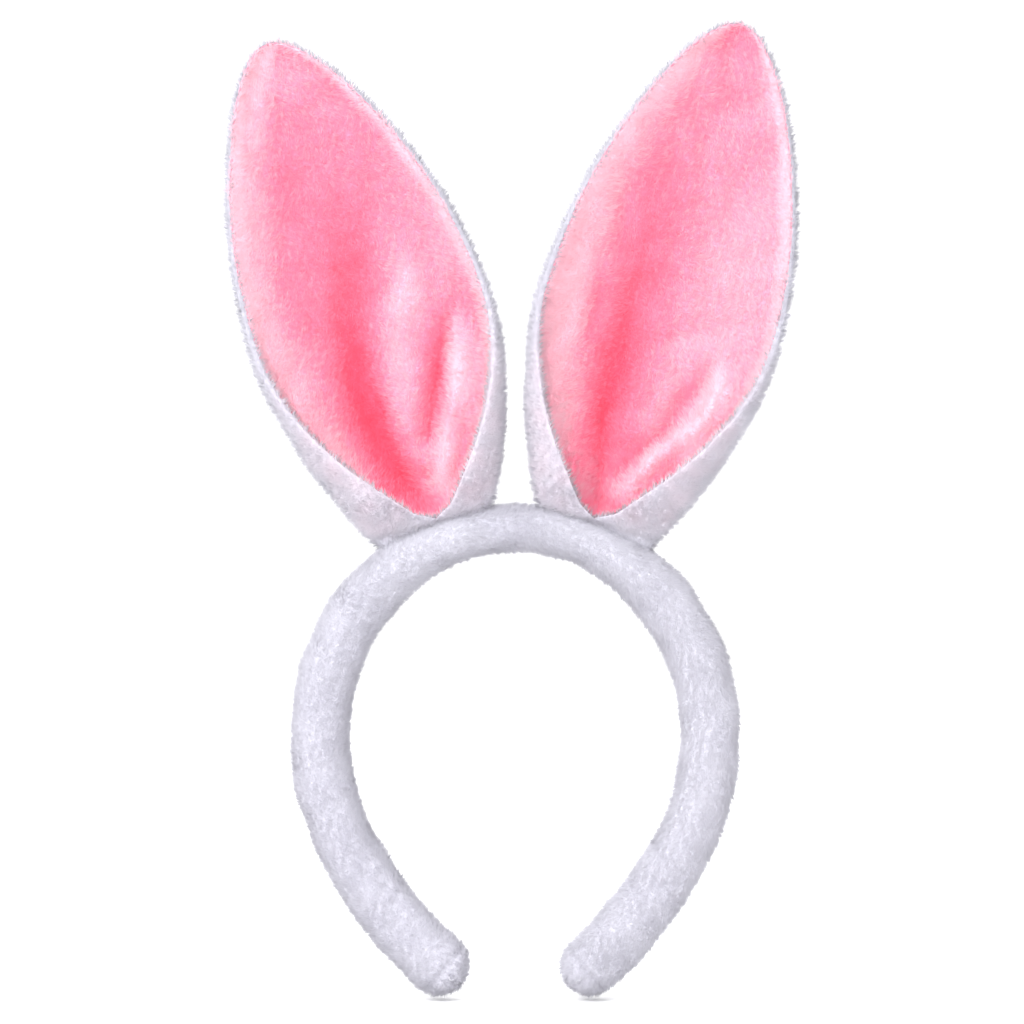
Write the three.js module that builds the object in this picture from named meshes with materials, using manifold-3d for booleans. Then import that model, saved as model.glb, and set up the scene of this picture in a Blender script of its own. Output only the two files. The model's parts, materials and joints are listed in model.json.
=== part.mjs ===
// Rabbit ears headband: a sprung plastic band wrapped in sponge and white plush, with two wired plush ears
// sewn on its crown. Millimetres, +Z up, -Y to the front. The origin is where the crown rests on the head.
// Left and right are as seen from the front, so the right side is at +X.
import * as THREE from 'three';
import { mergeVertices } from 'three/addons/utils/BufferGeometryUtils.js';
import Module from 'manifold-3d';

const wasm = await Module();
wasm.setup();

// ---------------------------------------------------------------- driving dimensions
const radians = THREE.MathUtils.degToRad;

// The band's centreline, from the middle of the crown down one side: tangent arcs, radius and turn.
const BAND_ARCS = [
  { radius: 60, turn: radians(45) },
  { radius: 70, turn: radians(45) },
  { radius: 76, turn: radians(28) },
  { radius: 140, turn: radians(20) },
];
const BAND_THICK = 18; // plush to plush, towards the head
const BAND_DEEP = 20; // plush to plush, front to back
const PLUSH = 2.6; // backing cloth and pile
const CORE_THICK = 1.8;
const CORE_WIDE = 9;
const CORE_SHORT = 5; // the core stops this far before the last arc ends
const GAP = 0.3; // between pieces that touch

// The band flexes at two places, one each side of the ears, where each layer has a round knuckle.
const FLEX_AT = 60.5; // arc length from the middle of the crown
const KNUCKLE = 9.5; // radius
const KNUCKLE_GAP = 0.45;

const EAR_AT = 25.6; // arc length from the middle of the crown to the ear's root
const EAR_LEAN = radians(16.4); // outwards from vertical
const EAR_ROOT = 6; // the outline starts this far above the band's centreline
const EAR_LONG = 167;
const EAR_HALF_BASE = 24;
const EAR_HALF_WIDE = 40;
const EAR_WIDEST = 0.4; // share of the length
const EAR_FOLD = 92; // height of the crease where the top half of the ear folds forward
const EAR_FOLD_GAP = 1;
const EAR_ROCK = radians(25); // an ear rocks this far forward and back about its root
const EAR_ROOM = 1.6; // between an ear's root and the band's plush, all through that swing
const EAR_PANEL_IN = 1.3; // an ear's layers, measured from the surface midway between the two plush panels
const EAR_PANEL_OUT = 3.8;
const EAR_FILL = 1.0;
const PINK_EDGE = 0.93; // shares of the half width: how far the pink panel reaches
const WIRE_LINE = 0.84; // where the wire runs
const FILL_EDGE = 0.7; // how far the filling reaches

const WIRE = 0.7; // radii
const THREAD = 0.45;

// ---------------------------------------------------------------- materials
const material = (color, roughness, metalness = 0) =>
  new THREE.MeshStandardMaterial({ color, roughness, metalness });
const whitePlush = material(0xf1eff6, 0.95);
const pinkPlush = material(0xfd9fb8, 0.95);
const sponge = material(0xe9e4c8, 0.95);
const batting = material(0xf6f5f2, 0.95);
const corePlastic = material(0xf4f4f1, 0.45);
const wireSteel = material(0x8d9095, 0.4, 0.9);
const whiteThread = material(0xe6e4ee, 0.8);
const pinkThread = material(0xe8708f, 0.8);

// ---------------------------------------------------------------- solids and booleans
function solidFrom(geometry) {
  const bare = geometry.clone();
  bare.deleteAttribute('normal');
  bare.deleteAttribute('uv');
  const merged = mergeVertices(bare, 1e-4);
  return new wasm.Manifold(
    new wasm.Mesh({
      numProp: 3,
      vertProperties: new Float32Array(merged.attributes.position.array),
      triVerts: new Uint32Array(merged.index.array),
    }),
  );
}

function geometryFrom(solid) {
  const mesh = solid.getMesh();
  const geometry = new THREE.BufferGeometry();
  geometry.setAttribute('position', new THREE.BufferAttribute(mesh.vertProperties, 3));
  geometry.setIndex(new THREE.BufferAttribute(mesh.triVerts, 1));
  geometry.computeVertexNormals();
  return geometry;
}

function cut(geometry, ...cutters) {
  return geometryFrom(cutters.reduce((left, cutter) => left.subtract(solidFrom(cutter)), solidFrom(geometry)));
}

function piece(name, geometry, finish) {
  const mesh = new THREE.Mesh(geometry, finish);
  mesh.name = name;
  return mesh;
}

// A closed skin over rings that all have the same number of points, with a flat fan over each end.
function loft(rings) {
  const around = rings[0].length;
  const points = rings.flat();
  const faces = [];
  for (let i = 0; i + 1 < rings.length; i += 1) {
    for (let j = 0; j < around; j += 1) {
      const next = (j + 1) % around;
      const a = i * around + j;
      const b = i * around + next;
      faces.push(a, b + around, b, a, a + around, b + around);
    }
  }
  for (const [ring, turned] of [[0, true], [rings.length - 1, false]]) {
    const hub = points.length;
    points.push(rings[ring].reduce((sum, p) => sum.add(p), new THREE.Vector3()).divideScalar(around));
    for (let j = 0; j < around; j += 1) {
      const a = ring * around + j;
      const b = ring * around + ((j + 1) % around);
      faces.push(...(turned ? [hub, a, b] : [hub, b, a]));
    }
  }
  return new THREE.BufferGeometry().setFromPoints(points).setIndex(faces);
}

// A closed slab between two offsets of a surface: at(u, v, offset), over a grid of u and v.
function slab(at, us, vs, inner, outer) {
  const points = [];
  const faces = [];
  for (const offset of [inner, outer]) {
    for (const v of vs) {
      for (const u of us) points.push(at(u, v, offset));
    }
  }
  const layer = us.length * vs.length;
  const quad = (a, b, c, d) => faces.push(a, b, c, a, c, d);
  for (let j = 0; j + 1 < vs.length; j += 1) {
    for (let i = 0; i + 1 < us.length; i += 1) {
      const a = j * us.length + i;
      const up = a + us.length;
      quad(a, a + 1, up + 1, up);
      quad(layer + a, layer + up, layer + up + 1, layer + a + 1);
    }
  }
  for (let i = 0; i + 1 < us.length; i += 1) {
    const top = (vs.length - 1) * us.length + i;
    quad(i, layer + i, layer + i + 1, i + 1);
    quad(top, top + 1, layer + top + 1, layer + top);
  }
  for (let j = 0; j + 1 < vs.length; j += 1) {
    const a = j * us.length;
    const b = a + us.length - 1;
    quad(a, a + us.length, layer + a + us.length, layer + a);
    quad(b, layer + b, layer + b + us.length, b + us.length);
  }
  return new THREE.BufferGeometry().setFromPoints(points).setIndex(faces);
}

const spread = (from, to, steps) =>
  Array.from({ length: steps + 1 }, (_, i) => from + ((to - from) * i) / steps);

// A round thread, wire or cord along a smooth line through the given points.
function cord(points, radius, steps, sides = 6) {
  const section = new THREE.Shape(
    spread(0, 2 * Math.PI, sides).slice(0, -1).map(
      (t) => new THREE.Vector2(radius * Math.cos(t), radius * Math.sin(t)),
    ),
  );
  const extrudePath = new THREE.CatmullRomCurve3(points);
  return new THREE.ExtrudeGeometry(section, { steps, extrudePath, curveSegments: 1 });
}

// ---------------------------------------------------------------- the band's line
const BAND_HALF = BAND_ARCS.reduce((sum, arc) => sum + arc.radius * arc.turn, 0);

// The centreline at a distance s from the middle of the crown (negative to the left), with its outward normal.
function bandAt(s) {
  const side = Math.sign(s) || 1;
  let left = Math.abs(s);
  let heading = 0;
  let x = 0;
  let z = BAND_THICK / 2;
  BAND_ARCS.forEach(({ radius, turn }, i) => {
    const last = i === BAND_ARCS.length - 1;
    const angle = Math.min(left / radius, last ? Infinity : turn);
    x += radius * (Math.sin(heading + angle) - Math.sin(heading));
    z += radius * (Math.cos(heading + angle) - Math.cos(heading));
    heading += angle;
    left -= angle * radius;
  });
  return {
    centre: new THREE.Vector3(side * x, 0, z),
    normal: new THREE.Vector3(side * Math.sin(heading), 0, Math.cos(heading)),
  };
}

function ringAt(s, section, scale = 1) {
  const { centre, normal } = bandAt(s);
  return section.map(([n, y]) =>
    centre.clone().addScaledVector(normal, n * scale).setY(y * scale),
  );
}

const oval = (n, y, sides) =>
  spread(0, 2 * Math.PI, sides).slice(0, -1).map((t) => [n * Math.cos(t), y * Math.sin(t)]);

// The core's strip has its long edges chamfered.
const strip = (n, y, edge) => [
  [n, edge - y], [n, y - edge], [n - edge, y], [edge - n, y],
  [-n, y - edge], [-n, edge - y], [edge - n, -y], [n - edge, -y],
];

// A layer of the band from s0 to s1. A round end closes over its tip, as deep as the section is thick.
function bandLayer(section, s0, s1, steps, roundTip = 0) {
  const rings = spread(s0, s1, steps).map((s) => ringAt(s, section));
  if (roundTip > 0) {
    for (const t of [0.35, 0.7, 0.9]) {
      rings.push(ringAt(s1 + roundTip * t, section, Math.sqrt(1 - t * t)));
    }
  }
  return loft(rings);
}

// ---------------------------------------------------------------- where the band flexes
function knuckle(side, radius) {
  const { centre } = bandAt(side * FLEX_AT);
  return new THREE.CylinderGeometry(radius, radius, 2 * BAND_DEEP, 24).translate(centre.x, 0, centre.z);
}

// Everything past the flex on one side, but for the knuckle's round end.
function beyondFlex(side) {
  const { centre, normal } = bandAt(side * FLEX_AT);
  const size = 4 * KNUCKLE;
  const block = new THREE.BoxGeometry(size, size, size)
    .translate(0, 0, -size / 2)
    .rotateY(Math.atan2(normal.x, normal.z) + side * radians(-90))
    .translate(centre.x, 0, centre.z);
  return cut(block, knuckle(side, KNUCKLE));
}

// One layer as three solids: the crown, and a right arm that the left one mirrors.
function crownLayer(outer, inner = null, steps = 14) {
  const reach = FLEX_AT + KNUCKLE + 2;
  const holes = inner ? [bandLayer(inner, -reach - 2, reach + 2, steps)] : [];
  return cut(bandLayer(outer, -reach, reach, steps), ...holes, beyondFlex(1), beyondFlex(-1));
}

function armLayer(outer, outerEnd, outerTip, inner, innerEnd, innerTip, steps = 11) {
  const hole = inner ? [bandLayer(inner, FLEX_AT - 2, innerEnd, steps, innerTip)] : [];
  return cut(bandLayer(outer, FLEX_AT, outerEnd, steps, outerTip), ...hole, knuckle(1, KNUCKLE + KNUCKLE_GAP));
}

// ---------------------------------------------------------------- the band's pieces
const coverOut = oval(BAND_THICK / 2, BAND_DEEP / 2, 16);
const coverIn = oval(BAND_THICK / 2 - PLUSH, BAND_DEEP / 2 - PLUSH, 12);
const foamOut = oval(BAND_THICK / 2 - PLUSH - 2 * GAP, BAND_DEEP / 2 - PLUSH - 2 * GAP, 12);
const foamIn = strip(CORE_THICK / 2 + GAP, CORE_WIDE / 2 + GAP, 0.6);
const coreBar = strip(CORE_THICK / 2, CORE_WIDE / 2, 0.6);
const coverTip = BAND_THICK / 2;
const innerTip = coverTip - PLUSH;
const foamTip = innerTip - 2 * GAP;
const coreEnd = BAND_HALF - CORE_SHORT;
const seamLine = -BAND_THICK / 2 - GAP - THREAD; // the seam lies on the side that faces the head

function seamAlong(s0, s1, steps) {
  return cord(
    spread(s0, s1, steps).map((s) => {
      const { centre, normal } = bandAt(s);
      return centre.addScaledVector(normal, seamLine);
    }),
    THREAD,
    steps,
  );
}

function crown() {
  const group = new THREE.Group();
  group.add(
    piece('core_crown', crownLayer(coreBar), corePlastic),
    piece('foam_crown', crownLayer(foamOut, foamIn), sponge),
    piece('cover_crown', crownLayer(coverOut, coverIn), whitePlush),
    piece('seam_crown', seamAlong(2 - FLEX_AT, FLEX_AT - 2, 16), whiteThread),
  );
  return group;
}

function arm(side) {
  const group = new THREE.Group();
  const cover = armLayer(coverOut, BAND_HALF, coverTip, coverIn, BAND_HALF, innerTip);
  const foam = armLayer(foamOut, BAND_HALF, foamTip, foamIn, coreEnd + GAP, CORE_THICK);
  const core = armLayer(coreBar, coreEnd, CORE_THICK);
  group.add(
    piece(`core_${side}_arm`, core, corePlastic),
    piece(`foam_${side}_arm`, foam, sponge),
    piece(`cover_${side}_arm`, cover, whitePlush),
    piece(`seam_${side}_arm`, seamAlong(FLEX_AT + 11, BAND_HALF, 12), whiteThread),
    piece(`end_stitch_${side}`, endStitch(), whiteThread),
  );
  return group;
}

// The thread that closes the cover over the tip, front to back round the rounded end.
function endStitch() {
  const clear = GAP + THREAD + 0.2;
  const { centre, normal } = bandAt(BAND_HALF);
  const along = new THREE.Vector3(normal.z, 0, -normal.x);
  return cord(
    spread(radians(-55), radians(55), 8).map((t) =>
      centre.clone().addScaledVector(along, (coverTip + clear) * Math.cos(t))
        .setY((BAND_DEEP / 2 + clear) * Math.sin(t)),
    ),
    THREAD,
    8,
  );
}

// ---------------------------------------------------------------- the ear's form
// Half the width of the ear as seen from the front, at a share k of its length: a swelling root, a leaf's tip.
function earHalfWidth(k) {
  if (k < EAR_WIDEST) {
    return EAR_HALF_WIDE - (EAR_HALF_WIDE - EAR_HALF_BASE) * Math.pow(1 - k / EAR_WIDEST, 1.9);
  }
  return EAR_HALF_WIDE * Math.pow(1 - ((k - EAR_WIDEST) / (1 - EAR_WIDEST)) ** 2, 2 / 3);
}

// The midway surface. Each level is part of an oval: almost a whole turn at the root, where the ear is rolled
// and its edges meet in front, opening to a shallow cup at the tip. u runs from edge to edge, -1 to 1.
function earAt(u, height, offset) {
  const k = Math.max(0, (height - EAR_ROOT) / EAR_LONG);
  const roll = radians(62 + 110 * Math.exp(-k / 0.36));
  const swell = Math.sin(Math.PI * Math.pow(k, 0.6));
  const across = earHalfWidth(k) / Math.sin(Math.min(roll, Math.PI / 2)) - EAR_PANEL_OUT;
  const deep = 7 + 8 * swell;
  const t = u * roll;
  const outward = new THREE.Vector3(Math.sin(t) / across, Math.cos(t) / deep, 0).normalize();
  return new THREE.Vector3(across * Math.sin(t), deep * Math.cos(t) - 4 * swell, height)
    .addScaledVector(outward, offset);
}

// The place and turn of the ear's own frame, on the right side of the band.
function earFrame() {
  const { centre } = bandAt(EAR_AT);
  return new THREE.Matrix4().makeRotationY(EAR_LEAN).setPosition(centre);
}

// Every layer is cut along the same lines, so that neighbours stay parallel between them.
const fillLines = spread(-FILL_EDGE, FILL_EDGE, 10);
const frontLines = [-PINK_EDGE, -WIRE_LINE, ...fillLines, WIRE_LINE, PINK_EDGE];
const backLines = [-1, ...frontLines, 1];
const lowerHeights = spread(0, EAR_FOLD - EAR_FOLD_GAP / 2, 6);

// The heights of the top half's levels, closer together towards the tip.
function upperHeights(top) {
  const from = EAR_FOLD + EAR_FOLD_GAP / 2;
  const rise = EAR_ROOT + EAR_LONG * top - from;
  return spread(0, Math.PI / 2, 6).map((t) => from + rise * Math.sin(t));
}

// What an ear's root is cut by, in the ear's own frame: the band's outside, with room round it, at each
// of a few angles of the ear's swing.
function bandRooms() {
  const section = oval(BAND_THICK / 2 + EAR_ROOM, BAND_DEEP / 2 + EAR_ROOM, 16);
  const { centre } = bandAt(EAR_AT);
  return spread(-EAR_ROCK, EAR_ROCK, 2).map((angle) =>
    bandLayer(section, -10, FLEX_AT + 5, 8)
      .translate(-centre.x, -centre.y, -centre.z)
      .rotateX(angle)
      .translate(centre.x, centre.y, centre.z)
      .applyMatrix4(earFrame().invert()),
  );
}

// One run of wire or thread at a share u of the half width, between two heights.
const edgeRun = (u, from, to, count) => spread(from, to, count).map((height) => earAt(u, height, 0));

// The same, up one edge from the fold, round the tip and down the other.
function edgeLoop(u, tip) {
  const from = EAR_FOLD + EAR_FOLD_GAP / 2;
  const shoulder = EAR_ROOT + EAR_LONG * (tip - 0.07);
  const top = EAR_ROOT + EAR_LONG * tip;
  const rise = edgeRun(u, from, shoulder, 4);
  const fall = edgeRun(-u, from, shoulder, 4).reverse();
  return [...rise, earAt(u * 0.6, top - 2, 0), earAt(0, top, 0), earAt(-u * 0.6, top - 2, 0), ...fall];
}

// ---------------------------------------------------------------- the ear's pieces
function ear(side) {
  const group = new THREE.Group();
  group.applyMatrix4(earFrame());
  const rooms = bandRooms();
  const layers = [
    ['back', backLines, EAR_PANEL_IN, EAR_PANEL_OUT, 0.975, whitePlush],
    ['front', frontLines, -EAR_PANEL_OUT, -EAR_PANEL_IN, 0.975, pinkPlush],
    ['fill', fillLines, -EAR_FILL, EAR_FILL, 0.88, batting],
  ];
  for (const [name, lines, inner, outer, top, finish] of layers) {
    group.add(
      piece(`${side}_ear_${name}_lower`, cut(slab(earAt, lines, lowerHeights, inner, outer), ...rooms), finish),
      piece(`${side}_ear_${name}_upper`, slab(earAt, lines, upperHeights(top), inner, outer), finish),
    );
  }
  const edges = [
    ['wire', WIRE_LINE, 18, 0.93, WIRE, wireSteel],
    ['edge_seam', (1 + PINK_EDGE) / 2, 20, 0.965, THREAD, pinkThread],
  ];
  for (const [name, u, root, tip, radius, finish] of edges) {
    const legEnd = EAR_FOLD - EAR_FOLD_GAP / 2;
    group.add(
      piece(`${side}_ear_${name}_inner_leg`, cord(edgeRun(-u, root, legEnd, 8), radius, 8), finish),
      piece(`${side}_ear_${name}_outer_leg`, cord(edgeRun(u, root, legEnd, 8), radius, 8), finish),
      piece(`${side}_ear_${name}_loop`, cord(edgeLoop(u, tip), radius, 18), finish),
    );
  }
  return group;
}

// The running stitch that sews an ear's root down: a thread that wanders round it, on the crown's plush.
function rootStitch(side) {
  const lift = GAP + THREAD;
  const half = 20;
  const wander = 0.9;
  const turns = 10;
  const points = spread(radians(100), radians(440), 30).map((t) => {
    const { centre, normal } = bandAt(EAR_AT + half * Math.cos(t));
    const around = 0.95 * Math.sin(t) + (wander / BAND_THICK) * Math.sin(turns * t);
    return centre
      .addScaledVector(normal, (BAND_THICK / 2 + lift) * Math.cos(around))
      .setY((BAND_DEEP / 2 + lift) * Math.sin(around));
  });
  return piece(`${side}_ear_root_stitch`, cord(points, THREAD, 40, 5), whiteThread);
}

// ---------------------------------------------------------------- the whole headband
function half(side, sign) {
  const group = new THREE.Group();
  group.scale.x = sign;
  group.add(arm(side), ear(side), rootStitch(side));
  return group;
}

const headband = new THREE.Group();
headband.name = 'rabbit_ears_headband';
headband.add(crown(), half('left', -1), half('right', 1));

export default headband;
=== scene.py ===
"""Rabbit ears headband: the plush, padding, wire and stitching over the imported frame."""

import json
import math

import bpy
import numpy as np
from bpy.props import FloatProperty, FloatVectorProperty, PointerProperty
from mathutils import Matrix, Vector


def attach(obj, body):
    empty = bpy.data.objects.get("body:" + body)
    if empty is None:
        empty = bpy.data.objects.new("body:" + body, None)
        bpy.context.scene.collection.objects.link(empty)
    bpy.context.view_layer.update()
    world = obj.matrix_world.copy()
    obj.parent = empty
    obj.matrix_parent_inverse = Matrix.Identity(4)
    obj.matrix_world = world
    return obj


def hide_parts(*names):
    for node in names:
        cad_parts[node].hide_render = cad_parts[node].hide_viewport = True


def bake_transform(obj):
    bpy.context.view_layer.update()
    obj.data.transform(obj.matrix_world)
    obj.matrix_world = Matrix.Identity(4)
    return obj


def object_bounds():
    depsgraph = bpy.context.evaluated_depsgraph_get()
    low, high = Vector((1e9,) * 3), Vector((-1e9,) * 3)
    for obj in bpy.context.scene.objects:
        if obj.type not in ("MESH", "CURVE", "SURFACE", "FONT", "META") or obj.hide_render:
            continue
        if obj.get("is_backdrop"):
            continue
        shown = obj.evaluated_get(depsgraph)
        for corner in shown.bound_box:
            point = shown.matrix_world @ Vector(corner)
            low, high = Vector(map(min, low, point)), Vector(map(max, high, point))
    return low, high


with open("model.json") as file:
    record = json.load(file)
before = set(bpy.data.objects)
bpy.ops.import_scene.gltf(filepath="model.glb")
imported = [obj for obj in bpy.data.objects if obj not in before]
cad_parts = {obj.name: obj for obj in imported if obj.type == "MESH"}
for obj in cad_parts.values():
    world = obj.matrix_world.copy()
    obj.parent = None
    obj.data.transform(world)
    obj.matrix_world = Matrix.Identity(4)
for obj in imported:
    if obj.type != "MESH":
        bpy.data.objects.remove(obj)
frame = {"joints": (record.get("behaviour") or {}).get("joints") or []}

bl_info = {
    "name": "Rabbit Ears Headband",
    "version": (1, 0, 0),
    "blender": (4, 5, 0),
    "location": "3D View > Sidebar > Headband",
    "description": "Makes the plush, padding and stitching of a rabbit ears headband",
    "category": "Object",
}

MM = 0.001
CAD_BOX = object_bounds()
JOINTS = {joint["name"]: joint for joint in frame["joints"]}
SIDES = ("left", "right")
SIGN = {"left": -1.0, "right": 1.0}

# The band's line from the middle of the crown down one side: tangent arcs, radius in millimetres and turn.
BAND_ARCS = (
    (60.0, math.radians(45)),
    (70.0, math.radians(45)),
    (76.0, math.radians(28)),
    (140.0, math.radians(20)),
)
BAND_LONG = sum(radius * turn for radius, turn in BAND_ARCS)
BAND_MIDDLE = 9.0  # the line's height over the head at the crown
CROWN_END = 12.0  # arc length up to which the band has its crown's thickness
ARM_START = 62.0  # arc length from which it has its arms' thickness
SWELL_START, SWELL_END = 100.0, 180.0  # between these the arms grow a little thicker still
SWELL = 1.0  # by this much
CROWN_FLAT = 0.93  # depth of the crown's section as a share of the arms'
CROWN_IN, ARM_IN = 0.7, 1.1  # the plush stands this much past the line's inner side, and in the arms this much more
STRIP_HALF = (0.9, 4.5)  # half the springy strip's thickness and width
FLEX_AT = 60.5  # arc length where the band's arms begin to flex
FLEX_SPREAD = 26.0  # arc length over which the cover bends

EAR_ROOT = 6.0  # height of the ear outline's foot over the band's line
EAR_HALF_WIDE = 40.0
EAR_HALF_BASE = 21.5
EAR_WIDEST = 0.4  # share of the length
EAR_PADDING = 2.5  # half the thickness of the ear's padded middle
ROLL_TIP, ROLL_ROOT, ROLL_FOOT, ROLL_MOST = 68, 104, 12, 184  # degrees round each edge: at the tip, more at the root
ROLL_FADE = 0.28  # share of the length over which the root's part of the roll dies away
CUP_FOOT, CUP_ROOT, CUP_MORE = 2.6, 3.0, 8.4  # depth of the ear's cup at its foot, then more, then in its middle
CUP_FORWARD = 3.6  # how far the ear's middle bows to the front
TIP_BACK = 3.0  # and its tip to the back
EAR_TIP_BLUNT = 6.5  # half the width of the blunt end of the ear's tip
EAR_SPLIT = 50.0  # height where the root pieces meet the top pieces
LAP = 1.4  # where two parts of one cloth meet, each runs on this far under the other
LAP_DOWN = 0.35  # and lies this much deeper there
LAP_STEP = 0.2  # going down over this distance
EAR_FOOT = -4.0  # the cloth goes on down into the band's plush to here
FOLD_SPREAD = 20.0  # the ear bends this far above and below its fold
ROCK_BEND = (3.0, 30.0)  # heights between which its root bends as it rocks
# Painted shade: the deeper pink of the folds below is painted in.
FOLD_SHADE = 0.14  # how much deeper the pink is for each millimetre that a fold presses in
BORDER_LIGHT = 0.45  # how much lighter the pink is along its border
PILE_OUT = 1.7  # how far the pile stands out past its cloth
SEAM_THREAD, PINK_THREAD, TIE_THREAD, WIRE = 0.28, 0.26, 0.3, 0.6  # radius of each thread and of the steel wire
TUFT, MAT = 3.0, 13.0  # wavelengths of the small tufts and of the wide, lying patches of the pile
PILE_SUNK = 0.3  # the fibres' feet are this deep in the cloth
SEAM_ANGLE = math.radians(13)  # how far round the ear's edge, to the front, white meets pink
SEAM_PINCH = 0.35  # how deep the seam pulls the plush in

# Each ear's own shape, in millimetres. drift moves its tip sideways, and ease opens one edge and rolls the other.
# A fold is a line of (height, distance across) on the pink panel, then its depth, its width to either side, and
# the height where it begins, the height where it has gone, and how long it takes to fade; a fold's depth also
# paints shade into the pink. A light place is a patch of painted light, or of painted shade below 0: its height,
# its distance across, how tall and how broad it is, and how much lighter it is, or darker below 0. edge is how
# much lighter the left and the right edge are: paler where the white pile mixes in, and painted light that makes
# the left edges lighter than the right.
EARS = {
    "left": {
        "long": 168.5,
        "drift": -7.0,
        "ease": 0.03,
        "folds": (
            (((112, 3), (87, -3), (66, -8), (50, -10.5), (40, -9.5), (27, -6), (12, -1)), 3.0, (9, 7), (4, 118, 60)),
            (((56, -11), (40, -9.5), (27, -6), (12, -1)), 1.3, (2.6, 2.2), (6, 56, 14)),
            (((76, 28), (63, 22), (54, 17), (46, 13.5), (29, 6)), 2.4, (4.2, 2.6), (26, 80, 22)),
            (((60, 26), (48, 21.5), (41, 18), (31, 13), (14, 5.3)), -2.0, (3.4, 5.0), (12, 72, 16)),
            (((84, 15), (64, 5), (38, 1)), -1.3, (6, 7), (20, 104, 26)),
        ),
        "lights": (
            (82, 13, 20, 9, 0.14), (62, 4, 16, 6, 0.08), (50, 22, 14, 4.5, 0.22), (162, -4, 14, 22, 0.12),
            (124, -18, 20, 12, -0.07), (100, -6, 24, 16, -0.10), (30, -20, 16, 8, 0.22), (22, 12, 12, 5, 0.18),
            (46, -9, 24, 4.5, -0.45), (70, 20, 10, 3.5, -0.14), (100, 3, 16, 7, -0.12), (88, -27, 14, 6, -0.14),
            (72, 32, 14, 5, -0.18), (76, 16.5, 9, 5, 0.14), (17, 0, 8, 8, 0.26), (14, 7, 6, 4, 0.2),
            (54, 16, 12, 3, -0.18),
        ),
        "edge": (0.36, 0.20),
    },
    "right": {
        "long": 172.5,
        "drift": -1.0,
        "ease": -0.03,
        "folds": (
            (((104, -12), (80, -8.5), (64, -9.5), (49, -8.5), (34, -6), (12, -2)), 3.0, (8, 8), (4, 112, 54)),
            (((49, -8.5), (34, -6), (20, -3.5), (12, -2)), 1.2, (2.4, 2.8), (6, 50, 14)),
            (((66, 23), (57, 19.6), (45, 14.5), (36, 10), (18, 3.3)), 2.0, (5.0, 2.4), (14, 72, 20)),
            (((62, 25), (41, 19.6), (27, 8.4), (14, 2.8)), -2.0, (2.6, 4.6), (12, 72, 14)),
            (((88, -24), (72, -21), (60, -20)), 0.9, (3, 3), (56, 86, 12)),
        ),
        "lights": (
            (92, 17, 28, 12, 0.24), (52, 22, 18, 5, 0.30), (54, 10, 12, 7, 0.10), (138, 0, 26, 22, 0.08),
            (32, 8, 14, 5, 0.16), (50, -9, 20, 4, -0.12), (44, 12, 14, 6, 0.12), (34, -18, 14, 6, 0.30),
            (60, -26, 22, 8, 0.16), (108, -10, 22, 9, -0.16), (18, -3, 9, 9, 0.48), (80, -31, 12, 6, 0.16),
            (66, 22, 14, 8, 0.04), (158, -16, 12, 9, 0.14), (160, 16, 16, 8, 0.16), (66, 25, 8, 6, -0.08),
            (32, -7, 10, 4, 0.12), (40, 11, 10, 4, 0.10), (78, 26, 14, 6, 0.08),
        ),
        "edge": (0.44, 0.16),
    },
}


# ---------------------------------------------------------------- settings


def length(name, description, default):
    """A size, in metres, that can be changed."""
    return FloatProperty(name=name, description=description, default=default, unit="LENGTH")


def dye(name, description, default):
    """A colour that can be changed."""
    return FloatVectorProperty(name=name, description=description, default=default, subtype="COLOR", size=3)


class BandSettings(bpy.types.PropertyGroup):
    """Sizes of the padded band."""

    crown_thick: length("Crown thickness", "Thickness of the band between the ears, over the pile", 0.0172)
    arm_thick: length("Arm thickness", "Thickness of the band's arms, over the pile", 0.0204)
    depth: length("Depth", "Size of the band from front to back, over the pile", 0.0200)
    lump: length("Lumps", "Height of the soft lumps in the padding", 0.00024)


class PlushSettings(bpy.types.PropertyGroup):
    """Pile and colours of the plush."""

    pile_long: length("Pile length", "Length of one fibre of the pile", 0.0026)
    pile_wide: length("Pile width", "Thickness of one fibre at its foot", 0.00028)
    pile_gap: length("Pile spacing", "Mean distance between fibres", 0.00040)
    # Painted shade: the grey that the white plush is painted down between the fibres and in shaded places.
    white_shaded: dye("White, deep", "White plush down between the fibres", (0.52, 0.51, 0.58))
    white_tip: dye("White, tips", "White plush at the fibres' tips", (0.68, 0.67, 0.745))
    # Painted reflection: the pink bounce light on the white plush that rolls over beside the pink.
    pink_bounce: dye("White, by the pink", "White plush that rolls over beside the pink", (0.71, 0.60, 0.675))
    # Painted shade: the darker, deeper pink that the folds and shaded places are painted.
    pink_shaded: dye("Pink, deep", "Pink plush in its folds", (0.99, 0.13, 0.22))
    pink_body: dye("Pink", "Pink plush on the ear's face", (0.99, 0.27, 0.40))
    # Partly painted light: the light pink of places painted as lit, and also the pale border where white pile mixes
    # in.
    pink_lit_and_pale: dye("Pink, light", "Pink plush whose pile is brushed up to the light", (0.99, 0.56, 0.655))


class StageSettings(bpy.types.PropertyGroup):
    """Camera, floor and lights."""

    lens: FloatProperty(name="Lens", description="Focal length in millimetres", default=120.0)
    distance: length("Distance", "From the camera to the headband", 1.0923)
    key_power: FloatProperty(name="Key light", description="Power of the key light in watts", default=18.0)
    sky: FloatProperty(name="Room light", description="Brightness of the white room", default=1.25)


# ---------------------------------------------------------------- materials


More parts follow.
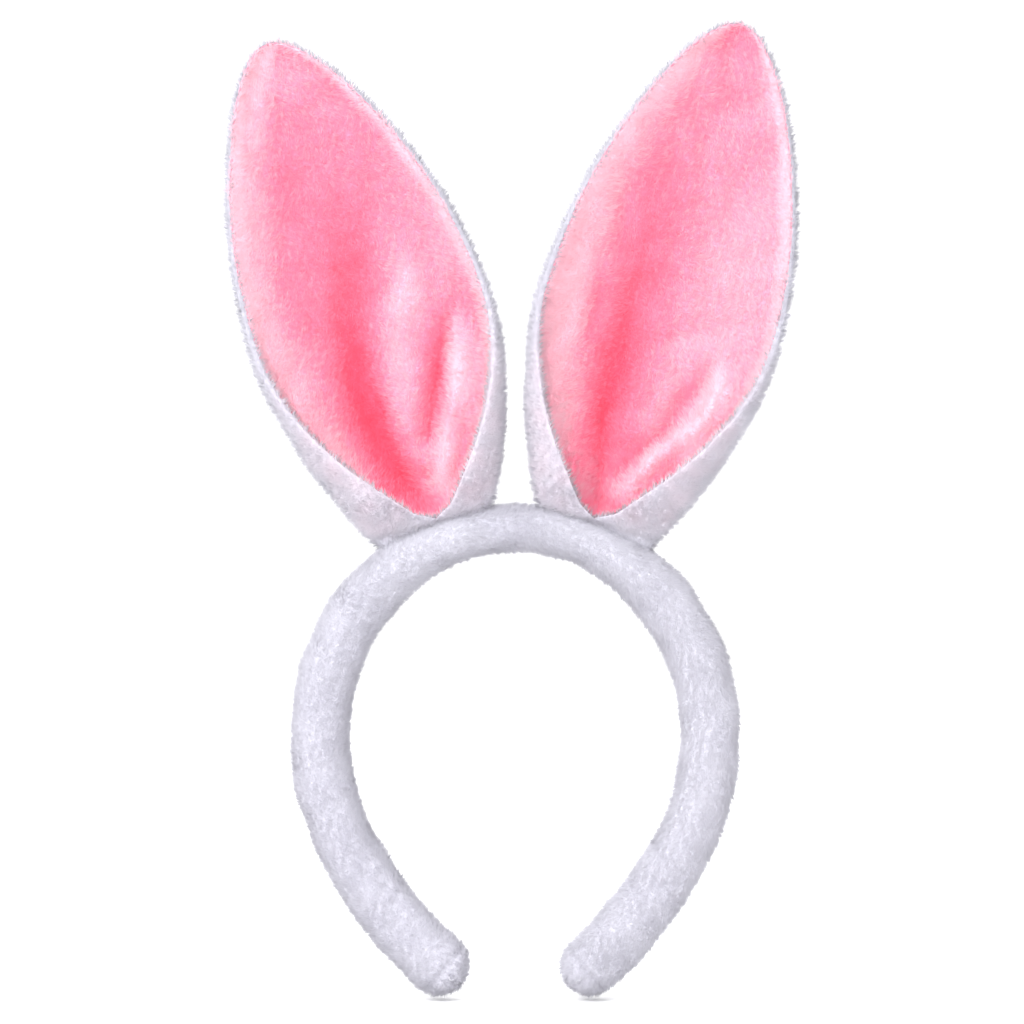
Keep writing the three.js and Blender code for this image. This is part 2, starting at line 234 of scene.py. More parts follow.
class Signal:
    """A number or colour that changes over a surface: a socket that Python's operators add Math nodes to."""

    def __init__(self, recipe, socket):
        self.recipe = recipe
        self.socket = socket

    def math(self, operation, *others):
        """A Math node on this value and the others."""
        values = dict(enumerate((self, *others)))
        return self.recipe.add("ShaderNodeMath", {"operation": operation}, values)

    def __add__(self, other):
        return self.math("ADD", other)

    __radd__ = __add__

    def __mul__(self, other):
        return self.math("MULTIPLY", other)

    __rmul__ = __mul__

    def __sub__(self, other):
        return self.math("SUBTRACT", other)

    def __rsub__(self, other):
        return (self * -1.0) + other

    def clipped(self):
        """This value, held between 0 and 1."""
        return self.recipe.add("ShaderNodeClamp", {}, {"Value": self})

    def blend(self, low, high):
        """The colour low where this value is 0 and high where it is 1. A colour Mix node numbers its sockets: 0 is
        the factor, 6 and 7 are the colours, and output 2 is the result."""
        low, high = (end if isinstance(end, Signal) else (*end, 1.0) for end in (low, high))
        return self.recipe.add("ShaderNodeMix", {"data_type": "RGBA"}, {0: self, 6: low, 7: high}, 2)


class Recipe:
    """A material being mixed."""

    def __init__(self, name):
        self.material = bpy.data.materials.new(name)
        self.material.use_nodes = True
        self.tree = self.material.node_tree
        self.tree.nodes.clear()

    def add(self, kind, settings, sockets, output=0):
        """Adds a node: its type, then its settings, then the values or links of its sockets."""
        node = self.tree.nodes.new(kind)
        for key, value in settings.items():
            setattr(node, key, value)
        for key, value in sockets.items():
            if isinstance(value, Signal):
                self.tree.links.new(value.socket, node.inputs[key])
            else:
                node.inputs[key].default_value = value
        return Signal(self, node.outputs[output])

    def place(self):
        """The point's own coordinates on the piece."""
        return self.add("ShaderNodeTexCoord", {}, {}, "Object")

    def measure(self, name):
        """A number stored on the mesh."""
        return self.add("ShaderNodeAttribute", {"attribute_name": name}, {}, "Fac")

    def noise(self, size, detail=2.0, roughness=0.5):
        """Soft random patches of about that size in metres, 0 to 1."""
        sockets = {"Vector": self.place(), "Scale": 1.0 / size, "Detail": detail, "Roughness": roughness}
        return self.add("ShaderNodeTexNoise", {}, sockets)

    def bump(self, height, distance):
        """A normal bent by a height from 0 to 1, which stands for that distance in metres."""
        return self.add("ShaderNodeBump", {}, {"Height": height, "Distance": distance, "Strength": 1.0})

    def finish(self, **sockets):
        """Ends the recipe with a principled surface. Underscores in names stand for spaces."""
        named = {key.replace("_", " "): value for key, value in sockets.items()}
        surface = self.add("ShaderNodeBsdfPrincipled", {}, named)
        output = self.tree.nodes.new("ShaderNodeOutputMaterial")
        self.tree.links.new(surface.socket, output.inputs["Surface"])
        return self.material


def white_plush(name, pile):
    """White plush: painted shade greys it between the fibres and in shaded places, with faint lavender patches at
    random and painted pink bounce light beside the pink. The cloth has a nap in its bump.
    """
    recipe, plush = Recipe(name), bpy.context.scene.headband_plush
    patches = recipe.noise(0.011, 3.0) * 0.50 + recipe.noise(0.0022, 2.0) * 0.35 - 0.12
    # Painted shade: each fibre is painted greyer towards its foot, where shade falls between fibres; the cloth's
    # grain is random.
    height = recipe.measure("tip") * 0.75 if pile else recipe.noise(0.0009, 3.0) * 0.4
    # How light the plush is, from its measure: painted light and shade, with its random tone.
    amount = (height + patches + recipe.measure("painted_light_and_tone") * 0.4 - 0.25).clipped()
    plain = amount.blend(plush.white_shaded, plush.white_tip)
    # Painted pink bounce light where the white rolls over beside the pink, broken up by random patches.
    pink_bounce = recipe.measure("pink_bounce") * (recipe.noise(0.008) * 1.2 - 0.1)
    colour = pink_bounce.blend(plain, plush.pink_bounce)
    values = {"Base_Color": colour, "Roughness": 0.95, "Specular_IOR_Level": 0.12}
    values.update(Sheen_Weight=0.15, Sheen_Roughness=0.5, Sheen_Tint=(0.97, 0.96, 1.0, 1.0))
    if not pile:
        values["Normal"] = recipe.bump(recipe.noise(0.0008, 3.0), 0.0006)
    return recipe.finish(**values)


def pink_plush(name, pile):
    """Pink plush: painted shade deepens it in the folds and between the fibres; painted light makes it lighter where
    the pile stands up to the light, and it is paler along its border. The cloth has a nap too.
    """
    recipe, plush = Recipe(name), bpy.context.scene.headband_plush
    patches = recipe.noise(0.009, 3.0) * 0.22 + recipe.noise(0.0016, 2.0) * 0.22
    # Painted shade: each fibre is painted deeper pink towards its foot; the cloth's grain is random.
    height = recipe.measure("tip") * 0.30 if pile else recipe.noise(0.0009, 3.0) * 0.10
    # How light the pink is, from its measure: painted light and shade, with its random tone.
    amount = (recipe.measure("painted_light_and_tone") + patches + height - 0.30).clipped()
    low = (amount * 2.0).clipped().blend(plush.pink_shaded, plush.pink_body)
    high = (amount * 2.0 - 1.0).clipped()
    colour = high.blend(low, plush.pink_lit_and_pale)
    values = {"Base_Color": colour, "Roughness": 0.95, "Specular_IOR_Level": 0.12}
    values.update(Sheen_Weight=0.03, Sheen_Roughness=0.5, Sheen_Tint=(1.0, 0.7, 0.78, 1.0))
    if not pile:
        values["Normal"] = recipe.bump(recipe.noise(0.0008, 3.0), 0.0006)
    return recipe.finish(**values)


def fibre_pad(name, low, high, grain):
    """Sponge or filling: an open, grainy body between two colours."""
    recipe = Recipe(name)
    cells = recipe.noise(grain, 4.0, 0.7)
    normal = recipe.bump(cells, grain * 0.8)
    return recipe.finish(Base_Color=cells.blend(low, high), Roughness=0.95, Normal=normal)


def spun_thread(name, low, high):
    """Sewing thread: fine light and dark plies."""
    recipe = Recipe(name)
    plies = recipe.noise(0.0004, 2.0)
    normal = recipe.bump(plies, 0.0002)
    return recipe.finish(Base_Color=plies.blend(low, high), Roughness=0.7, Normal=normal)


def strip_plastic(name):
    """Moulded plastic strip: milky, with faint flow marks."""
    recipe = Recipe(name)
    flow = recipe.noise(0.006, 3.0)
    colour = flow.blend((0.80, 0.80, 0.77), (0.90, 0.90, 0.87))
    return recipe.finish(Base_Color=colour, Roughness=flow * 0.15 + 0.35, Normal=recipe.bump(flow, 0.0001))


def drawn_wire(name):
    """Drawn steel wire: dull, with slight stains."""
    recipe = Recipe(name)
    stain = recipe.noise(0.003, 3.0)
    colour = stain.blend((0.42, 0.43, 0.45), (0.62, 0.63, 0.65))
    return recipe.finish(Base_Color=colour, Metallic=1.0, Roughness=stain * 0.2 + 0.3)


FINISHES = {
    "white_cloth": (white_plush, False),
    "white_pile": (white_plush, True),
    "pink_cloth": (pink_plush, False),
    "pink_pile": (pink_plush, True),
    "sponge_pad": (fibre_pad, (0.62, 0.56, 0.38), (0.86, 0.82, 0.64), 0.0011),
    "batting_pad": (fibre_pad, (0.80, 0.79, 0.77), (0.94, 0.93, 0.91), 0.0016),
    "white_sewing": (spun_thread, (0.62, 0.61, 0.68), (0.86, 0.85, 0.90)),
    "pink_sewing": (spun_thread, (0.72, 0.16, 0.27), (0.90, 0.36, 0.48)),
    "strip": (strip_plastic,),
    "wire_steel": (drawn_wire,),
}


def material(name):
    """The named material, made when it is first asked for."""
    maker, *details = FINISHES[name]
    return bpy.data.materials.get(name) or maker(name, *details)


# ---------------------------------------------------------------- numbers


def rise(value, low, high):
    """0 up to low, 1 from high, with an S-shaped rise between."""
    share = np.clip((value - low) / (high - low), 0.0, 1.0)
    return share * share * (3.0 - 2.0 * share)


def powered(value, power):
    """A value's size to a power, with the value's sign: a cosine or sine below power 1 squares a circle."""
    return np.sign(value) * np.abs(value) ** power


def unit(vectors):
    """Each vector divided by its length."""
    return vectors / np.maximum(np.linalg.norm(vectors, axis=-1, keepdims=True), 1e-12)


def swells(points, wavelength, seed):
    """Soft random relief, about -1 to 1, and its slope: the sum of plane waves in random directions, with
    wavelengths from two thirds to one and two thirds of the given one."""
    rng = np.random.default_rng(seed)
    count = 18
    waves = unit(rng.normal(size=(count, 3))) * (2 * math.pi / wavelength)
    waves *= rng.uniform(0.6, 1.5, (count, 1))
    angle = points @ waves.T + rng.uniform(0, 2 * math.pi, count)
    size = math.sqrt(1.0 / count)
    return np.sin(angle).sum(-1) * size, (np.cos(angle) @ waves) * size


def surface_normals(grid, wrap=False):
    """The outward normal at each grid point, the column direction crossed with the row direction, and the
    direction along the rows' order. wrap says that the last column is next to the first."""
    along = np.gradient(grid, axis=0)
    if wrap:
        across = np.roll(grid, -1, axis=1) - np.roll(grid, 1, axis=1)
    else:
        across = np.gradient(grid, axis=1)
    return unit(np.cross(across, along)), unit(along)


# ---------------------------------------------------------------- meshes


def add_piece(name, points, faces, finish, measures=None, normals=None, flat=()):
    """A mesh object with its place in its mesh. points are in millimetres. faces, and the flat ones, which are
    shaded flat, are arrays of quads or triangles."""
    mesh = bpy.data.meshes.new(name)
    mesh.vertices.add(len(points))
    mesh.vertices.foreach_set("co", (points * MM).astype(np.float32).ravel())
    parts = [*faces, *flat]
    corners = np.concatenate([part.ravel() for part in parts]).astype(np.int32)
    sizes = np.concatenate([np.full(len(part), part.shape[1]) for part in parts])
    starts = np.concatenate([[0], np.cumsum(sizes)[:-1]]).astype(np.int32)
    mesh.loops.add(len(corners))
    mesh.loops.foreach_set("vertex_index", corners)
    mesh.polygons.add(len(sizes))
    mesh.polygons.foreach_set("loop_start", starts)
    mesh.polygons.foreach_set("use_smooth", np.arange(len(sizes)) < sum(len(part) for part in faces))
    mesh.update(calc_edges=True)
    for key, values in (measures or {}).items():
        layer = mesh.attributes.new(key, "FLOAT", "POINT")
        layer.data.foreach_set("value", values.astype(np.float32).ravel())
    if normals is not None:
        mesh.normals_split_custom_set_from_vertices(normals.astype(np.float32))
    mesh.materials.append(material(finish))
    piece = bpy.data.objects.new(name, mesh)
    bpy.context.scene.collection.objects.link(piece)
    return piece


def grid_faces(number, wrap=False):
    """Quads over a grid of point numbers. wrap joins the last column to the first."""
    if wrap:
        number = np.concatenate([number, number[:, :1]], axis=1)
    corners = (number[:-1, :-1], number[:-1, 1:], number[1:, 1:], number[1:, :-1])
    return np.stack([part.ravel() for part in corners], axis=1)


def add_body(name, grid, finish, measures=None, foot="flat", head="round"):
    """A closed body whose rows are rings. Each end closes to a point in its middle, shaded flat or round."""
    rows, columns = grid.shape[:2]
    number = np.arange(rows * columns).reshape(rows, columns)
    ring = np.roll(number, -1, axis=1)
    hubs = np.full((2, columns), [[rows * columns], [rows * columns + 1]])
    low = np.stack([hubs[0], ring[0], number[0]], axis=1)
    high = np.stack([hubs[1], number[-1], ring[-1]], axis=1)
    ends = {"flat": [], "round": []}
    ends[foot].append(low)
    ends[head].append(high)
    points = np.concatenate([grid.reshape(-1, 3), grid[0].mean(0)[None], grid[-1].mean(0)[None]])
    extra = {
        key: np.concatenate([values.ravel(), [values[0].mean(), values[-1].mean()]])
        for key, values in (measures or {}).items()
    }
    faces = [grid_faces(number, wrap=True), *ends["round"]]
    return add_piece(name, points, faces, finish, extra, flat=ends["flat"])


def add_cloth(name, grid, finish, measures, wall=0.5):
    """A closed sheet of cloth: the grid, a copy of it one wall thickness inwards, and a flat rim between."""
    rows, columns = grid.shape[:2]
    outer = np.arange(rows * columns).reshape(rows, columns)
    inner = outer + rows * columns
    rims = (
        (outer[0], inner[0]),
        (inner[-1], outer[-1]),
        (inner[:, 0], outer[:, 0]),
        (outer[:, -1], inner[:, -1]),
    )
    flat = [grid_faces(np.stack([near, far])[::-1]) for near, far in rims]
    points = np.concatenate([grid, grid - surface_normals(grid)[0] * wall]).reshape(-1, 3)
    extra = {key: np.tile(values.ravel(), 2) for key, values in measures.items()}
    return add_piece(name, points, [grid_faces(outer), grid_faces(inner[::-1])], finish, extra, flat=flat)


def add_rod(name, path, side, radius, finish, sides=8):
    """A round rod along a path: rings of that radius, turned by a side direction, with closed ends."""
    along = unit(np.gradient(path, axis=0))
    side = unit(side - along * (side * along).sum(-1, keepdims=True))
    other = np.cross(along, side)
    angle = np.linspace(0, 2 * math.pi, sides, endpoint=False)[None, :, None]
    ring = np.cos(angle) * side[:, None] - np.sin(angle) * other[:, None]
    return add_body(name, path[:, None] + ring * radius, finish)


def add_pile(name, grid, finish, measures, seed, lean, wrap=False, sweep=0.0, long=1.0, ragged=0.2, more=1.0):
    """The pile on a grid surface. Roots are spread evenly by area, more of them for more above 1. Each fibre is
    a spike of three sides, whose direction is the normal plus lean along the rows, less sweep along the columns,
    plus the slope of a random relief, which draws it into tufts, plus its own chance, as much as it is ragged.
    measures are numbers at the grid points: how light the plush is, painted light and shade with its random tone,
    and how much painted pink bounce light tints it."""
    plush = bpy.context.scene.headband_plush
    rng = np.random.default_rng(seed)
    normals, along = surface_normals(grid, wrap)
    if wrap:
        grid, normals, along = (np.concatenate([a, a[:, :1]], axis=1) for a in (grid, normals, along))
        measures = {key: np.concatenate([a, a[:, :1]], axis=1) for key, a in measures.items()}
    step_row = grid[1:, :-1] - grid[:-1, :-1]
    step_column = grid[:-1, 1:] - grid[:-1, :-1]
    area = np.linalg.norm(np.cross(step_row, step_column), axis=-1)
    total = np.cumsum(area.ravel())
    count = int(more * total[-1] / (plush.pile_gap / MM) ** 2)
    picked = np.searchsorted(total, (np.arange(count) + rng.random(count)) / count * total[-1])
    row, column = np.unravel_index(np.minimum(picked, area.size - 1), area.shape)
    fr, fc = rng.random((2, count, 1))

    def between(field):
        """The field at each root, weighed between the four corners of its grid cell."""
        field = field if field.ndim == 3 else field[..., None]
        low = field[row, column] * (1 - fc) + field[row, column + 1] * fc
        high = field[row + 1, column] * (1 - fc) + field[row + 1, column + 1] * fc
        return low * (1 - fr) + high * fr

    root, normal, along = between(grid), unit(between(normals)), unit(between(along))
    light, pink_bounce = between(measures["painted_light_and_tone"])[:, 0], between(measures["pink_bounce"])[:, 0]
    height, slope = swells(root, TUFT, 51)
    broad, broad_slope = swells(root, MAT, 52)
    across = np.cross(normal, along)
    lie = normal + along * lean + across * (0.35 * broad[:, None] - sweep)
    lie += slope * 0.17 + broad_slope * 0.3 + rng.normal(0, ragged, (count, 3))
    lie = unit(lie)
    lie = unit(lie + normal * np.maximum(0.25 - (lie * normal).sum(-1, keepdims=True), 0.0))
    long = long * plush.pile_long / MM * (rng.uniform(0.7, 1.1, count) + 0.12 * height)
    wide = plush.pile_wide / MM * 0.5 * rng.uniform(0.7, 1.3, count)
    first = unit(np.cross(lie, rng.normal(size=(count, 3))))
    second = np.cross(lie, first)
    turn = np.arange(3) * 2 * math.pi / 3
    ring = np.cos(turn)[None, :, None] * first[:, None] + np.sin(turn)[None, :, None] * second[:, None]
    points = np.empty((count, 4, 3))
    points[:, :3] = (root - normal * PILE_SUNK)[:, None] + ring * wide[:, None, None]
    points[:, 3] = root + lie * long[:, None]
    facing = np.empty((count, 4, 3))
    facing[:, :3] = normal[:, None] * 0.6 + ring * 0.4
    facing[:, 3] = normal * 0.7 + lie * 0.3
    spike = np.array([[0, 1, 3], [1, 2, 3], [2, 0, 3]])
    faces = (np.arange(count)[:, None, None] * 4 + spike).reshape(-1, 3)
    tips = np.tile([0.0, 0.0, 0.0, 1.0], count)
    # Each fibre's lightness: the surface's painted light and shade, random scatter, and painted light on raised
    # tufts.
    shade = np.repeat(light + rng.normal(0, 0.05, count) + 0.07 * height, 4)
    measures = {"tip": tips, "painted_light_and_tone": shade, "pink_bounce": np.repeat(pink_bounce, 4)}
    return add_piece(name, points.reshape(-1, 3), [faces], finish, measures, unit(facing).reshape(-1, 3))


def declare(piece, nodes, body=None, blend=None):
    """Hides the CAD nodes that a piece stands for, and parents a piece given a body to that body; a piece given a
    blend only has its place baked into its mesh.
    """
    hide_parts(*nodes)
    if blend:
        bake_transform(piece)
    else:
        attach(piece, body)


# ---------------------------------------------------------------- the band's form


def band_line(distance, side):
    """Centre and outward normal of the band's line at a distance from the crown's middle: tangent arcs in the
    X-Z plane, the last one going on as far as asked."""
    distance = np.asarray(distance, float)
    x = np.zeros_like(distance)
    z = np.full_like(distance, BAND_MIDDLE)
    bearing = np.zeros_like(distance)
    heading = start = 0.0
    for number, (radius, turn) in enumerate(BAND_ARCS):
        least = 0.0 if number else -LAP
        most = radius * turn if number < len(BAND_ARCS) - 1 else None
        angle = np.clip(distance - start, least, most) / radius
        x += radius * (np.sin(heading + angle) - math.sin(heading))
        z += radius * (np.cos(heading + angle) - math.cos(heading))
        bearing += angle
        heading += turn
        start += radius * turn
    zero = np.zeros_like(x)
    centre = np.stack([SIGN[side] * x, zero, z], axis=-1)
    return centre, np.stack([SIGN[side] * np.sin(bearing), zero, np.cos(bearing)], axis=-1)


def band_grid(side, rows, columns, shrink, start=0.0, lap=False, lumps=True):
    """Points round the band: an oval section, cosine by sine, carried along the line, thinner at the crown, and
    closing in a round tip. shrink is how far inside the outline the surface lies. Lumps, pleats round the tip and
    a crease before it move it along its normal. With a lap, two more rows run on under the other half."""
    settings = bpy.context.scene.headband_band
    angle = np.linspace(0, math.radians(86), 15)[1:]
    end = BAND_LONG
    body = np.concatenate([[-LAP, -LAP_STEP] if lap else [], np.linspace(start, end, rows)])
    round_tip = settings.arm_thick / MM / 2 - shrink
    distance = np.concatenate([body, end + round_tip * np.sin(angle)])
    scale = np.concatenate([np.ones(len(body)), np.cos(angle)])
    centre, normal = band_line(distance, side)
    grown = rise(distance, CROWN_END, ARM_START)
    thick = (settings.crown_thick + (settings.arm_thick - settings.crown_thick) * grown) / MM
    thick = thick + SWELL * rise(distance, SWELL_START, SWELL_END)
    shrink = shrink + LAP_DOWN * (1 - rise(distance, -0.3, 0)) * lap
    half = (thick / 2 - shrink) * scale
    deep = (settings.depth / MM / 2 * (CROWN_FLAT + (1 - CROWN_FLAT) * grown) - shrink) * scale
    centre = centre + normal * (thick / 2 - BAND_MIDDLE - CROWN_IN - ARM_IN * grown)[:, None]
    turn = -SIGN[side] * np.linspace(0, 2 * math.pi, columns, endpoint=False)
    section = half[:, None, None] * np.cos(turn)[None, :, None] * normal[:, None]
    section = section + deep[:, None, None] * np.sin(turn)[None, :, None] * np.array([0.0, 1.0, 0.0])
    grid = centre[:, None] + section
    if lumps:
        facing = surface_normals(grid, wrap=True)[0]
        soft = swells(grid, 19.0, 41)[0] + 0.55 * swells(grid, 7.5, 42)[0]
        pleats = np.cos(9 * turn)[None] * (rise(distance, end - 5, end + 4) * (1.2 - scale))[:, None]
        crease = np.exp(-(((distance - end - 1.5) / 1.1) ** 2))[:, None] * rise(-np.sin(turn), -0.4, 0.6)
        move = soft * settings.lump / MM - 0.4 * pleats - 0.7 * crease
        grid = grid + facing * move[..., None]
    return grid


def flex_blend(side):
    """The crown and arm bodies and the ends of a bend between them, along the line's own direction at the joint. It
    is not applied to the pieces.
    """
    _, normal = band_line(FLEX_AT, side)
    along = np.array([SIGN[side] * normal[2], 0.0, -abs(normal[0])])
    middle = np.array(JOINTS[f"{side}_arm_flex"]["pos_m"])
    reach = along * FLEX_SPREAD / 2 * MM
    return "crown", f"{side}_arm", tuple(middle - reach), tuple(middle + reach)


# ---------------------------------------------------------------- the ear's form


def ear_share(ear, height):
    """A height as a share of the ear's length, 0 at the outline's foot and 1 at the tip."""
    return (height - EAR_ROOT) / (ear["long"] - EAR_ROOT)


def ear_half_width(share):
    """Half the ear's width at a share of its length. Up to the widest place it falls short of the full half width
    by the 1.9th power of the way still to go; above, it is (1 - way squared) to the power 2/3, like a leaf, with a
    small blunt end added at right angles."""
    to_go = 1 - np.minimum(share, EAR_WIDEST) / EAR_WIDEST
    low = EAR_HALF_WIDE - (EAR_HALF_WIDE - EAR_HALF_BASE) * to_go**1.9
    past = np.clip((share - EAR_WIDEST) / (1 - EAR_WIDEST), 0.0, 1.0)
    high = EAR_HALF_WIDE * (1 - past**2) ** (2 / 3)
    blunt = EAR_TIP_BLUNT * np.sqrt(1 - past**60) * rise(past, 0.5, 0.9)
    return np.where(share < EAR_WIDEST, low, np.hypot(high, blunt))


def ear_roll(share):
    """How far round each edge of the ear is rolled: nearly half a turn at the root, where the edges meet in front,
    dying away exponentially to a shallow cup at the tip."""
    roll = ROLL_TIP + ROLL_ROOT * np.exp(-share / ROLL_FADE) + ROLL_FOOT * (1 - rise(share, 0.0, 0.03))
    return np.radians(np.minimum(roll, ROLL_MOST))


def ear_stuffing(share):
    """Half the ear's padded thickness in its middle: it goes with the square root of the ear's width."""
    return EAR_PADDING * np.sqrt(np.clip(ear_half_width(share), 0.0, None) / EAR_HALF_WIDE)


def ear_middle(ear, across, height):
    """Point, outward normal and turn of the surface midway through an ear, in its own frame. Each level is part
    of an oval: x = a sin t, y = b cos t, with the turn t the share across times the roll."""
    share = ear_share(ear, height)
    roll = ear_roll(share)
    swell = np.sin(math.pi * np.clip(share, 0, 1) ** 0.6)
    padding = ear_stuffing(share) * rise(roll, math.radians(80), math.radians(120))
    wide = np.maximum(ear_half_width(share) - PILE_OUT - padding, 0.5) / np.sin(np.minimum(roll, math.pi / 2))
    deep = CUP_FOOT + (CUP_ROOT + CUP_MORE * swell) * rise(height, 0, 20)
    turn = across * roll * (1 - ear["ease"] * across)
    x = wide * np.sin(turn) + ear["drift"] * np.clip(share, 0, 1) ** 2.5
    broad = rise(wide, 0.0, 16.0)
    deep = deep * (0.25 + 0.75 * broad)
    y = deep * np.cos(turn) - CUP_FORWARD * swell + TIP_BACK * (1 - broad)
    point = np.stack(np.broadcast_arrays(x, y, height), axis=-1)
    out = np.stack(np.broadcast_arrays(np.sin(turn) / wide, np.cos(turn) / deep, 0 * x), axis=-1)
    return point, unit(out), turn


def ear_relief(ear, x, turn, height):
    """How far the pink panel is pressed in (or bulges out, below 0) by its folds, and how light it is, mostly
    painted light and shade. Each fold is a bell-shaped groove, exp(-(gap / width) squared), about a cubic through
    its line's points, which also paints shade into the pink, and each light place a patch of the same shape, of
    painted light or painted shade. Both edges are lighter, partly where the white pile mixes in and partly painted
    light. The panel's hidden, rolled-over flaps have no folds."""
    press = np.zeros_like(x)
    painted_light_and_tone = np.full_like(x, 0.50)
    for line, depth, (before, after), (low, high, fade) in ear["folds"]:
        heights, places = np.array(line, float).T
        curve = np.polyfit(heights, places, min(3, len(line) - 1))
        gap = x - np.polyval(curve, np.clip(height, heights.min(), heights.max()))
        bell = np.exp(-((gap / np.where(gap < 0, before, after)) ** 2))
        bell = bell * rise(height, low, low + min(fade, 10)) * (1 - rise(height, high - fade, high))
        press += depth * bell
        # Painted shade in each fold.
        painted_light_and_tone -= FOLD_SHADE * depth * bell
    # Patches of painted light, or of painted shade where the amount is below 0.
    for high, place, tall, broad, amount in ear["lights"]:
        painted_light_and_tone += amount * np.exp(-(((height - high) / tall) ** 2) - ((x - place) / broad) ** 2)
    share = ear_share(ear, height)
    beside = rise(np.abs(x) / np.maximum(ear_half_width(share), 1.0), 0.45, 0.9)
    border = rise(np.abs(turn) / ear_roll(share), 0.70, 0.94)
    # Edges paler where the white pile mixes in, with painted light making the left edges lighter than the right.
    painted_light_and_tone += beside * np.where(x < 0, *ear["edge"]) + BORDER_LIGHT * border
    seen = 1 - rise(np.abs(turn), math.radians(78), math.radians(102))
    return press * seen, painted_light_and_tone


def ear_layer(ear, across, height, offset, follow):
    """Points of a layer of the ear: off the midway surface by an offset, plus a share of the folds' depth."""
    point, out, turn = ear_middle(ear, across, height)
    press, painted_light_and_tone = ear_relief(ear, point[..., 0], turn, point[..., 2])
    return point + out * (offset + follow * press)[..., None], out, painted_light_and_tone


def ear_skin(ear, angle, height, lap=0.0):
    """Points of the stuffed ear in its own frame, with its measures. angle goes once round its section: 0 and half
    a turn are the edges, the back lies between them and the front beyond. The section is a flat oval about the
    midway surface, cosine across by sine to the power 0.65 through, pinched at each seam. The folds press its
    front in and push its back out. lap is how much deeper each row lies."""
    share = np.clip(ear_share(ear, height), 0, 1)
    wave = np.sin(angle)
    puff = powered(wave, 0.65)
    offset = (ear_stuffing(share) - lap) * puff
    for seam in (-SEAM_ANGLE, math.pi + SEAM_ANGLE, SEAM_ANGLE - math.pi):
        offset = offset - SEAM_PINCH * np.sign(puff) * np.exp(-(((angle - seam) / 0.07) ** 2))
    follow = np.where(wave < 0, rise(-wave, 0.15, 0.5), 0.5 * rise(wave, 0.15, 0.5))
    grid, out, painted_light_and_tone = ear_layer(ear, np.cos(angle), height, offset, follow)
    rough = swells(grid, 22.0, 61)[0] * 0.35 + swells(grid, 8.0, 62)[0] * 0.16
    grid = grid + out * (rough * np.abs(puff) * rise(ear["long"] - height, 0, 12))[..., None]
    rolled = np.abs(np.cos(angle)) * ear_roll(ear_share(ear, height))
    # Painted pink bounce light on the white where its edge rolls round towards the pink.
    pink_bounce = rise(rolled, math.radians(82), math.radians(120)) * rise(height, 2, 12)
    return grid, {"painted_light_and_tone": painted_light_and_tone, "tip": np.zeros_like(painted_light_and_tone), "pink_bounce": pink_bounce}


def ear_place(side, points):
    """Points from an ear's own frame to the headband's, both in millimetres."""
    origin = np.array(JOINTS[f"{side}_ear_rock"]["pos_m"]) / MM
    across = np.array(JOINTS[f"{side}_ear_fold"]["axis"])
    up = np.cross(across, (0.0, 1.0, 0.0))
    return origin + points @ np.array([across, (0.0, 1.0, 0.0), up])


def ear_heights(ear, part, rows):
    """Heights of a part's rows of pile, which change hands a little below the split: even in the root, a sine in
    the top, so closer together towards the tip."""
    share = np.linspace(0, 1, rows)
    meet = EAR_SPLIT - LAP
    if part == "root":
        return EAR_FOOT + (meet - EAR_FOOT) * share
    last = math.radians(88.2)
    return meet + (ear["long"] - meet) * np.sin(share * last) / math.sin(last)


def cloth_heights(height, part):
    """Heights of a part's rows of cloth: the root's goes on under the top's, which starts at the split."""
    if part == "root":
        return np.append(height, [EAR_SPLIT, EAR_SPLIT + LAP_STEP, EAR_SPLIT + LAP])
    return np.append(EAR_SPLIT, height[height > EAR_SPLIT])


def ear_blend(side, part):
    """The bodies and the ends of an ear's bend: crown and ear at the root, ear and ear tip at the fold. It is not
    applied to the pieces.
    """
    fold = JOINTS[f"{side}_ear_fold"]
    if part == "root":
        ends = ear_place(side, np.array([[0.0, 0.0, height] for height in ROCK_BEND])) * MM
        return "crown", f"{side}_ear", tuple(ends[0]), tuple(ends[1])
    up = np.cross(np.array(fold["axis"]), (0.0, 1.0, 0.0)) * FOLD_SPREAD * MM
    pivot = np.array(fold["pos_m"])
    return f"{side}_ear", f"{side}_ear_tip", tuple(pivot - up), tuple(pivot + up)


def ear_nodes(side, layer, part):
    """The CAD nodes that one part of a layer stands for."""
    if layer in ("wire", "edge_seam"):
        ends = ("inner_leg", "outer_leg") if part == "root" else ("inner_leg", "outer_leg", "loop")
        return [f"{side}_ear_{layer}_{end}" for end in ends]
    return [f"{side}_ear_{layer}_{'lower' if part == 'root' else 'upper'}"]


# ---------------------------------------------------------------- operators


